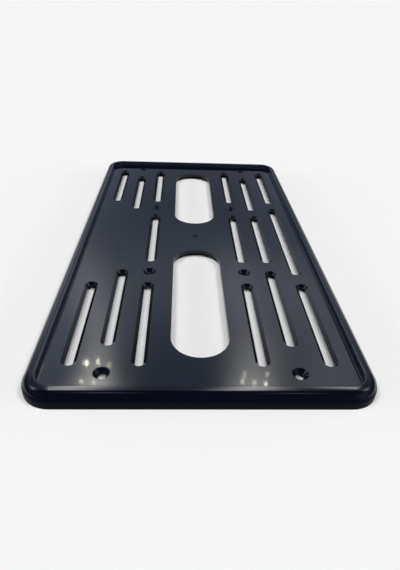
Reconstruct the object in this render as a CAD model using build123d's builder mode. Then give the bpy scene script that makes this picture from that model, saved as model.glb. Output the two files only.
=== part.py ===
import os
from math import radians, tan

from build123d import *

# Number plate holder: one moulded tray with a rounded hollow rim, a recess that takes the plate,
# rows of countersunk fixing slots and holes, and two large windows in its floor.
# It lies on its back with the foot of the rim on Z 0, X along the plate and Y across it.

# Recess for the plate
plate_length = 304.8
plate_width = 152.4
end_clearance = 1.6
side_clearance = 0.8
recess_depth = 3.6
recess_corner = 8.0
recess_draft = 5.0
recess_foot_round = 0.4

# Moulding
wall = 2.4
foot_height = 2.6
rim_core = 2.3
rim_land = 0.8
rim_edge_round = 0.5

# Windows, each side of a bridge across the middle
window_width = 31.0
window_end_margin = 22.0
bridge_width = 43.0

# Ways for the fixing screws: the same way through in slots and holes
screw_way = 4.2
slot_bevel = 1.8
hole_bevel = 2.05
bevel_angle = 45.0

# Rows of slots and holes along X, and the gaps between their bevels' rims
inner_row_margin = 15.25
outer_row_margin = 12.0
slot_end_margin = 15.75
hole_end_margin = 11.0
waist_gap = 25.75
slot_gap = 10.75

# Mark of the moulding gate at the middle of the floor
gate_diameter = 3.6
gate_depth = 0.3
gate_nub_diameter = 1.2

# Sizes that follow
recess_length = plate_length + 2 * end_clearance
recess_width = plate_width + 2 * side_clearance
rim_width = 2 * wall + rim_core
outer_length = recess_length + 2 * rim_width
outer_width = recess_width + 2 * rim_width
outer_corner = recess_corner + rim_width
floor_top = foot_height + wall
height = floor_top + recess_depth
draft_run = recess_depth * tan(radians(recess_draft))
rim_round = min(rim_width - draft_run - rim_land, height - wall)

window_length = (recess_length - 2 * window_end_margin - bridge_width) / 2
window_spacing = window_length + bridge_width

inner_row = window_width / 2 + inner_row_margin
outer_row = recess_width / 2 - outer_row_margin
middle_row = (inner_row + outer_row) / 2

# Three slots fill a row: two waist gaps lie between them, and a hole sits in each gap.
# Without holes to clear, the long slot and the staggered slots close up to the smaller gap.
mouth_width = screw_way + 2 * slot_bevel
bevel_depth = slot_bevel / tan(radians(bevel_angle))
mouth_length = (recess_length - 2 * slot_end_margin - 2 * waist_gap) / 3
stagger = waist_gap - slot_gap
long_mouth_length = mouth_length + 2 * stagger
end_slot_x = mouth_length + waist_gap
staggered_slot_x = end_slot_x - stagger
waist_hole_x = (mouth_length + waist_gap) / 2
end_hole_x = recess_length / 2 - hole_end_margin
sink_diameter = screw_way + 2 * hole_bevel

# A slot in each row at all four ends, and an uneven centre group with three of its four slots on -Y
slots = [
    (side_x * x, side_y * y, mouth_length)
    for x, y in ((end_slot_x, inner_row), (staggered_slot_x, middle_row), (end_slot_x, outer_row))
    for side_x in (-1, 1)
    for side_y in (-1, 1)
]
slots += [(0, y, mouth_length) for y in (inner_row, -inner_row, -middle_row)]
slots += [(0, -outer_row, long_mouth_length)]
holes = [
    (side_x * x, side_y * y)
    for x, y in ((end_hole_x, middle_row), (waist_hole_x, inner_row))
    for side_x in (-1, 1)
    for side_y in (-1, 1)
]

floor_plane = Plane.XY.offset(floor_top)

with BuildPart() as plate_holder:
    # Block with a quarter-round outer edge
    with BuildSketch():
        RectangleRounded(outer_length, outer_width, outer_corner)
    extrude(amount=height)
    fillet(plate_holder.edges().group_by(Axis.Z)[-1], rim_round)

    # Recess, wider towards its mouth, with a small round at the foot of its walls
    with BuildSketch(floor_plane):
        RectangleRounded(recess_length, recess_width, recess_corner)
    extrude(amount=recess_depth, taper=-recess_draft, mode=Mode.SUBTRACT)
    fillet(plate_holder.edges().filter_by_position(Axis.Z, floor_top, floor_top), recess_foot_round)

    # Back hollowed to an even wall, up into the rim
    offset(amount=-wall, openings=plate_holder.faces().sort_by(Axis.Z)[0])

    # Round at the mouth of the recess
    rim_top = plate_holder.faces().sort_by(Axis.Z)[-1]
    fillet(rim_top.inner_wires()[0].edges(), rim_edge_round)

    # Windows
    with BuildSketch(floor_plane):
        with GridLocations(window_spacing, 0, 2, 1):
            SlotOverall(window_length, window_width)
    extrude(amount=-floor_top, mode=Mode.SUBTRACT)

    # Slots: the way through, then the bevel that takes a countersunk head
    for x, y, length in slots:
        with BuildSketch(floor_plane):
            with Locations((x, y)):
                SlotOverall(length - 2 * slot_bevel, screw_way)
        extrude(amount=-floor_top, mode=Mode.SUBTRACT)
        with BuildSketch(floor_plane):
            with Locations((x, y)):
                SlotOverall(length, mouth_width)
        extrude(amount=-bevel_depth, taper=bevel_angle, mode=Mode.SUBTRACT)

    # Countersunk holes: at the ends of the middle rows and in the waist gaps of the inner rows
    with Locations(floor_plane):
        with Locations(holes):
            CounterSinkHole(screw_way / 2, sink_diameter / 2, floor_top, 2 * bevel_angle)

    # Gate mark: a shallow dimple round a nub that stays below the floor
    with BuildSketch(floor_plane):
        Circle(gate_diameter / 2)
        Circle(gate_nub_diameter / 2, mode=Mode.SUBTRACT)
    extrude(amount=-gate_depth, mode=Mode.SUBTRACT)

plate_holder.part.label = "plate_holder"

os.makedirs("parts", exist_ok=True)
export_step(plate_holder.part, "parts/plate_holder.step")
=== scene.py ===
import math

import bpy
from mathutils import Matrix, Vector


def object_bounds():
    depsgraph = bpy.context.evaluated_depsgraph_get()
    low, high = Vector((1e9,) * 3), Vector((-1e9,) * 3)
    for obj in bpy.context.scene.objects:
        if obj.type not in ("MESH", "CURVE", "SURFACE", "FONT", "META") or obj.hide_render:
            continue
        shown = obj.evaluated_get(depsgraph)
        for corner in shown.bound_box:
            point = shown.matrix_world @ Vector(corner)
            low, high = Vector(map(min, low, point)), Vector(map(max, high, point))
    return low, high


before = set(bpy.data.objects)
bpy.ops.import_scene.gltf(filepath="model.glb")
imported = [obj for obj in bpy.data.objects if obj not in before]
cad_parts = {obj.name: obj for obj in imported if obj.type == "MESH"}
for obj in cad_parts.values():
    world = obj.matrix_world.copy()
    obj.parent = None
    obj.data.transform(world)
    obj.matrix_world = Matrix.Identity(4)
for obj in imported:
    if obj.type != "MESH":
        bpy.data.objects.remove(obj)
cadBox = [list(corner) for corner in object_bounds()]
scene = bpy.context.scene
scene.view_settings.view_transform = "Standard"
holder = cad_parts["plate_holder"]
print("frame loaded,", len(holder.data.polygons), "faces on the holder")

class Wire:  # one output socket, so that shader maths reads as plain sums
    def __init__(self, graph, socket):
        self.graph = graph
        self.socket = socket

    def __add__(self, other):
        return self.graph.maths("ADD", self, other)

    def __sub__(self, other):
        return self.graph.maths("SUBTRACT", self, other)

    def __rsub__(self, other):
        return self.graph.maths("SUBTRACT", other, self)

    def __mul__(self, other):
        return self.graph.maths("MULTIPLY", self, other)

    def __truediv__(self, other):
        return self.graph.maths("DIVIDE", self, other)

    def __rtruediv__(self, other):
        return self.graph.maths("DIVIDE", other, self)

    __radd__ = __add__
    __rmul__ = __mul__

class Graph:  # a node tree that is filled through one method
    def __init__(self, tree):
        self.tree = tree
        tree.nodes.clear()

    def node(self, kind, settings=None, sockets=None):
        made = self.tree.nodes.new(kind)
        for name, value in (settings or {}).items():
            setattr(made, name, value)
        for name, value in (sockets or {}).items():
            socket = made.inputs[name]
            if isinstance(value, Wire):
                self.tree.links.new(value.socket, socket)
            else:
                socket.default_value = (*value, 1.0) if socket.type == "RGBA" else value
        return made

    def wire(self, made, output=0):
        return Wire(self, made.outputs[output])

    def axes(self, output):  # where a point lies, or which way a ray of the room goes
        place = self.wire(self.node("ShaderNodeTexCoord"), output)
        split = self.node("ShaderNodeSeparateXYZ", None, {"Vector": place})
        return place, [self.wire(split, name) for name in "XYZ"]

    def maths(self, operation, first, second=0.0):
        return self.wire(self.node("ShaderNodeMath", {"operation": operation}, {0: first, 1: second}))

    def noise(self, place, scale, detail, roughness):
        return self.wire(self.node("ShaderNodeTexNoise", None, {
            "Vector": place, "Scale": scale, "Detail": detail, "Roughness": roughness}))

    def step(self, value, middle, blur):  # from 0 to 1 round the middle
        return self.wire(self.node("ShaderNodeMapRange", {"interpolation_type": "SMOOTHSTEP"}, {
            "Value": value, "From Min": middle - blur, "From Max": middle + blur}))

    def bell(self, *offsets):  # 1 where no value is off, less all round
        squares = [offset * offset for offset in offsets]
        return self.maths("EXPONENT", -1.0 * sum(squares[1:], squares[0]))

    def mixColours(self, factor, first, second, blend="MIX"):  # 6, 7 and output 2 are the colours' sockets
        return self.wire(self.node("ShaderNodeMix", {"data_type": "RGBA", "blend_type": blend}, {
            0: factor, 6: first, 7: second}), 2)

# the moulding's finish: bluish black gloss with a faint orange peel, and a dull, satin band round the
# outside of the foot;
# the recess's walls are painted paler as painted light, and the foot's lower band carries a painted
# reflection
moulding = {
    "shade": (0.0016, 0.0024, 0.0064),
    "paleShade": (0.0021, 0.003, 0.0083),
    # painted light: the recess's walls, the end walls most, are paler to stand for light falling on them
    "paintedWallLight": (0.004, 0.007, 0.018),
    "paintedEndWallLight": (0.016, 0.022, 0.036),
    # painted reflection: the foot's lower band is paler, standing for the table mirrored in it
    "paintedFootReflection": (0.0053, 0.0059, 0.0098),
    # gloss of the moulding and of its satin band: (roughness, specular level)
    "gloss": (0.04, 0.3),
    "satin": (0.3, 0.02),
    "roughnessSpread": 0.02,
    # noises: (scale, detail, roughness), and the height of the two that are felt
    "mottle": (60.0, 4.0, 0.6),
    "peel": (1300.0, 2.0, 0.45),
    "peelDepth": 0.0000028,
    "wave": (22.0, 1.0, 0.4),
    "waveDepth": 0.00002,
    # the rim in plan, and heights above the table
    "outerCorner": 0.0151,
    "rimWidth": 0.00665,
    "wallFoot": 0.0054,
    # top of the painted reflection on the foot
    "paintedReflectionTop": 0.0039,
    "satinTop": 0.0053,
    "edgeBlur": 0.0002,
    # where the rounded corners turn into end walls, past the centres of the corners: (middle, blur)
    "endWall": (0.00665, 0.00115),
}

def makeMoulding(look):
    material = bpy.data.materials.new("blackMoulding")
    material.use_nodes = True
    graph = Graph(material.node_tree)
    place, (along, across, up) = graph.axes("Object")
    blur = look["edgeBlur"]

    # distance past the centres of the rounded corners tells the recess from the rim's outside
    pastLength, pastWidth = (
        graph.maths("MAXIMUM", graph.maths("ABSOLUTE", axis) - (half - look["outerCorner"]), 0.0)
        for axis, half in zip((along, across), cadBox[1]))
    reach = graph.maths("SQRT", pastLength * pastLength + pastWidth * pastWidth)
    outside = graph.step(reach, look["outerCorner"] - look["rimWidth"], blur)
    paintedLightWalls = (1.0 - outside) * graph.step(up, look["wallFoot"], blur)
    paintedReflectionBand, satinBand = (outside * (1.0 - graph.step(up, look[top], blur)) for top in ("paintedReflectionTop", "satinTop"))

    mottle = graph.noise(place, *look["mottle"])
    colour = graph.mixColours(mottle, look["shade"], look["paleShade"])
    # the recess's walls are painted paler, the end walls most: painted light, not the moulding's own colour
    ends = graph.step(pastLength, *look["endWall"])
    paintedWallColour = graph.mixColours(ends, look["paintedWallLight"], look["paintedEndWallLight"])
    colour = graph.mixColours(paintedLightWalls, colour, paintedWallColour)
    # the foot's lower band is painted paler: a painted reflection of the table in front of it
    colour = graph.mixColours(paintedReflectionBand, colour, look["paintedFootReflection"])

    spread = (mottle - 0.5) * look["roughnessSpread"]  # the noise lies round a half
    height = graph.noise(place, *look["peel"]) * look["peelDepth"]
    height = height + graph.noise(place, *look["wave"]) * look["waveDepth"]
    bump = graph.wire(graph.node("ShaderNodeBump", None, {
        "Strength": 1.0, "Distance": 1.0, "Height": height}))  # height in metres
    glossy, satin = (
        graph.wire(graph.node("ShaderNodeBsdfPrincipled", None, {
            "Base Color": colour, "Roughness": roughness + spread,
            "Specular IOR Level": specular, "Normal": bump}))
        for roughness, specular in (look["gloss"], look["satin"]))
    surface = graph.node("ShaderNodeMixShader", None, {0: satinBand, 1: glossy, 2: satin})
    graph.node("ShaderNodeOutputMaterial", None, {"Surface": graph.wire(surface)})
    return material

holder.data.materials.clear()
holder.data.materials.append(makeMoulding(moulding))
print("moulding finished")

# pale table, large enough to reach the skyline
table = {"halfSize": 150.0, "shade": (0.88, 0.88, 0.885), "roughness": 0.9, "specular": 0.0}

def makeTable(look):
    half = look["halfSize"]
    corners = [(-half, -half, 0.0), (half, -half, 0.0), (half, half, 0.0), (-half, half, 0.0)]
    mesh = bpy.data.meshes.new("table")
    mesh.from_pydata(corners, [], [(0, 1, 2, 3)])
    board = bpy.data.objects.new("table", mesh)
    scene.collection.objects.link(board)
    material = bpy.data.materials.new("paleTable")
    material.use_nodes = True
    graph = Graph(material.node_tree)
    surface = graph.node("ShaderNodeBsdfPrincipled", None, {
        "Base Color": look["shade"], "Roughness": look["roughness"], "Specular IOR Level": look["specular"]})
    graph.node("ShaderNodeOutputMaterial", None, {"Surface": graph.wire(surface)})
    mesh.materials.append(material)

makeTable(table)
print("table laid")

# the room by direction: dim, with a lit ceiling beyond the holder, rows of lamps on it and a pale skyline
room = {
    "strength": 1.0,
    "dim": (0.02, 0.022, 0.028),
    "skyline": (0.12, 0.13, 0.15),
    "skylineReach": 3.0,
    "skylineGain": 1.6,
    "ceiling": (0.5, 0.53, 0.69),
    "ceilingLow": 46.0,
    "ceilingFade": 14.0,
    "ceilingEnd": 0.035,
    "lowestRise": 0.02,  # keeps the rows finite at the skyline
    # rows of lamps, in ceiling heights: (left of the middle, slant, half width, start, end, fade, shade)
    "rows": [
        (0.235, 0.02, 0.075, 0.05, 0.93, 0.14, (10.1, 10.0, 9.8)),
        (-0.135, -0.09, 0.065, 0.05, 0.93, 0.14, (10.7, 10.6, 10.4)),
        (-0.45, 0.0, 0.09, 0.3, 0.85, 0.12, (6.9, 6.9, 6.8)),
        (-0.22, 0.0, 0.09, 1.1, 1.6, 0.45, (1.06, 1.01, 1.15)),
        (0.17, 0.0, 0.06, -0.46, -0.28, 0.05, (1.4, 1.4, 1.4)),
        (-0.27, 0.0, 0.06, -0.5, -0.32, 0.05, (1.1, 1.1, 1.1)),
    ],
    # glows: (degrees to the left of the far end, degrees up, reach across, reach up, shade)
    "glows": [
        # the far wall, paler towards the ceiling and at both sides
        (0.0, 28.0, 80.0, 18.0, (0.21, 0.26, 0.34)),
        (0.0, 34.5, 70.0, 6.5, (0.56, 0.61, 0.69)),
        (0.0, 44.0, 8.0, 5.0, (0.12, 0.23, 0.34)),
        (-25.0, 45.0, 8.0, 9.0, (1.36, 1.43, 1.47)),
        (-16.0, 33.0, 6.0, 5.0, (0.36, 0.36, 0.43)),
        (23.0, 40.0, 8.0, 9.0, (0.86, 1.01, 1.26)),
        (16.0, 31.0, 4.0, 5.0, (0.67, 0.55, 0.6)),
        # halos of the ceiling bulbs
        (14.2, 45.5, 2.8, 4.0, (6.2, 6.1, 5.7)),
        (12.6, 40.0, 2.6, 7.0, (2.0, 2.05, 2.0)),
        (9.0, 42.0, 3.5, 8.0, (0.45, 0.46, 0.47)),
        (-12.6, 44.5, 4.0, 5.0, (3.25, 3.35, 3.1)),
        # the far wall's foot and corners
        (14.0, 19.0, 6.0, 6.0, (0.36, 0.38, 0.53)),
        (-14.0, 19.0, 5.0, 6.0, (0.21, 0.23, 0.31)),
        (0.0, 16.0, 9.0, 4.0, (0.1, 0.1, 0.13)),
        (34.0, 15.0, 10.5, 10.0, (0.95, 0.98, 1.1)),
        (-35.0, 15.0, 9.5, 10.0, (0.62, 0.64, 0.73)),
        # the sides of the room
        (125.0, 25.0, 25.0, 22.0, (0.06, 0.075, 0.14)),
        (-125.0, 25.0, 25.0, 22.0, (0.33, 0.37, 0.48)),
        (86.0, 43.0, 9.0, 9.0, (4.0, 4.0, 4.1)),
        (-86.0, 43.0, 9.0, 9.0, (4.0, 4.0, 4.1)),
    ],
}

def makeRoom(look):
    world = bpy.data.worlds.new("room")
    scene.world = world
    world.use_nodes = True
    world.cycles_visibility.diffuse = False  # the room is mirrored, the lamps light
    graph = Graph(world.node_tree)
    ahead, left, up = graph.axes("Generated")[1]
    turn = graph.maths("DEGREES", graph.maths("ARCTAN2", left, ahead))
    rise = graph.maths("DEGREES", graph.maths("ARCSINE", up))
    height = graph.maths("MAXIMUM", up, look["lowestRise"])
    along, across = ahead / height, left / height

    over = graph.step(rise, look["ceilingLow"], look["ceilingFade"])
    beyond = graph.step(ahead, look["ceilingEnd"], look["ceilingEnd"])
    air = graph.mixColours(over * beyond, look["dim"], look["ceiling"])
    for middle, slant, half, start, end, fade, shade in look["rows"]:
        strip = graph.step(along, start, fade) * (1.0 - graph.step(along, end, fade))
        strip = strip * graph.bell((across - middle - slant * along) / half)
        air = graph.mixColours(strip, air, shade, "ADD")
    for middle, high, reachAcross, reachUp, shade in look["glows"]:
        glow = graph.bell((turn - middle) / reachAcross, (rise - high) / reachUp)
        air = graph.mixColours(glow, air, shade, "ADD")
    low = graph.maths("MINIMUM", graph.bell(rise / look["skylineReach"]) * look["skylineGain"], 1.0)
    air = graph.mixColours(low, air, look["skyline"])
    background = graph.node("ShaderNodeBackground", None, {"Color": air, "Strength": look["strength"]})
    graph.node("ShaderNodeOutputWorld", None, {"Surface": graph.wire(background)})

makeRoom(room)

# lamps as far sources: (degrees to the left of the far end, degrees up, width in degrees, strength)
softLight = {
    "tint": (1.0, 1.0, 1.0),
    "mirrored": False,
    "distance": 2.0,
    "places": [(180.0, 57.0, 12.0, 1.09), (97.0, 61.0, 20.0, 1.08), (-97.0, 61.0, 20.0, 1.08)]
    + [(turn, 6.0, 20.0, 0.78) for turn in (-110.0, -90.0, -70.0, 70.0, 90.0, 110.0)],
}
ceilingBulbs = {
    "tint": (1.0, 0.9, 0.72),
    "mirrored": True,
    "distance": 2.0,
    "places": [
        (14.9, 41.9, 0.3, 0.003),
        (13.1, 42.0, 0.3, 0.0016),
        (11.4, 42.6, 0.3, 0.0007),
        (16.1, 44.0, 0.3, 0.0009),
        (14.2, 44.3, 0.3, 0.0007),
        (-11.0, 44.5, 0.3, 0.001),
        (-13.0, 44.5, 0.3, 0.001),
        (-14.9, 44.4, 0.3, 0.0014),
        (-11.2, 43.6, 0.3, 0.0006),
        (-14.9, 43.2, 0.3, 0.0005),
    ],
}

def hangLamps(name, look):
    for number, (turn, rise, width, strength) in enumerate(look["places"], 1):
        lamp = bpy.data.lights.new(f"{name}{number}", "SUN")
        lamp.energy = strength
        lamp.angle = math.radians(width)
        lamp.color = look["tint"]
        stand = bpy.data.objects.new(f"{name}{number}", lamp)
        stand.visible_glossy = look["mirrored"]
        turned, raised = math.radians(turn), math.radians(rise)
        flat = math.cos(raised)
        towards = Vector((flat * math.cos(turned), flat * math.sin(turned), math.sin(raised)))
        stand.rotation_euler = towards.to_track_quat("Z", "Y").to_euler()
        stand.location = towards * look["distance"]  # for the eye only, a far source has no place
        scene.collection.objects.link(stand)

hangLamps("softLight", softLight)
hangLamps("ceilingBulb", ceilingBulbs)
print("room and lamps in place")

# camera at one short end, looking along the holder: metres, degrees, and millimetres for the optics
view = {
    "place": (-0.30395, 0.01121, 0.16091),
    "tilt": 56.802,
    "roll": -2.0092,
    "turn": -91.7339,
    "lens": 41.368,
    "sensor": 36.0,
    "nearest": 0.01,
    "farthest": 500.0,
}

def placeCamera(look):
    lens = bpy.data.cameras.new("camera")
    lens.sensor_fit = "HORIZONTAL"
    lens.sensor_width = look["sensor"]
    lens.lens = look["lens"]
    lens.clip_start = look["nearest"]
    lens.clip_end = look["farthest"]
    camera = bpy.data.objects.new("camera", lens)
    camera.location = look["place"]
    camera.rotation_euler = [math.radians(look[angle]) for angle in ("tilt", "roll", "turn")]
    scene.collection.objects.link(camera)
    scene.camera = camera

placeCamera(view)
print("camera placed")
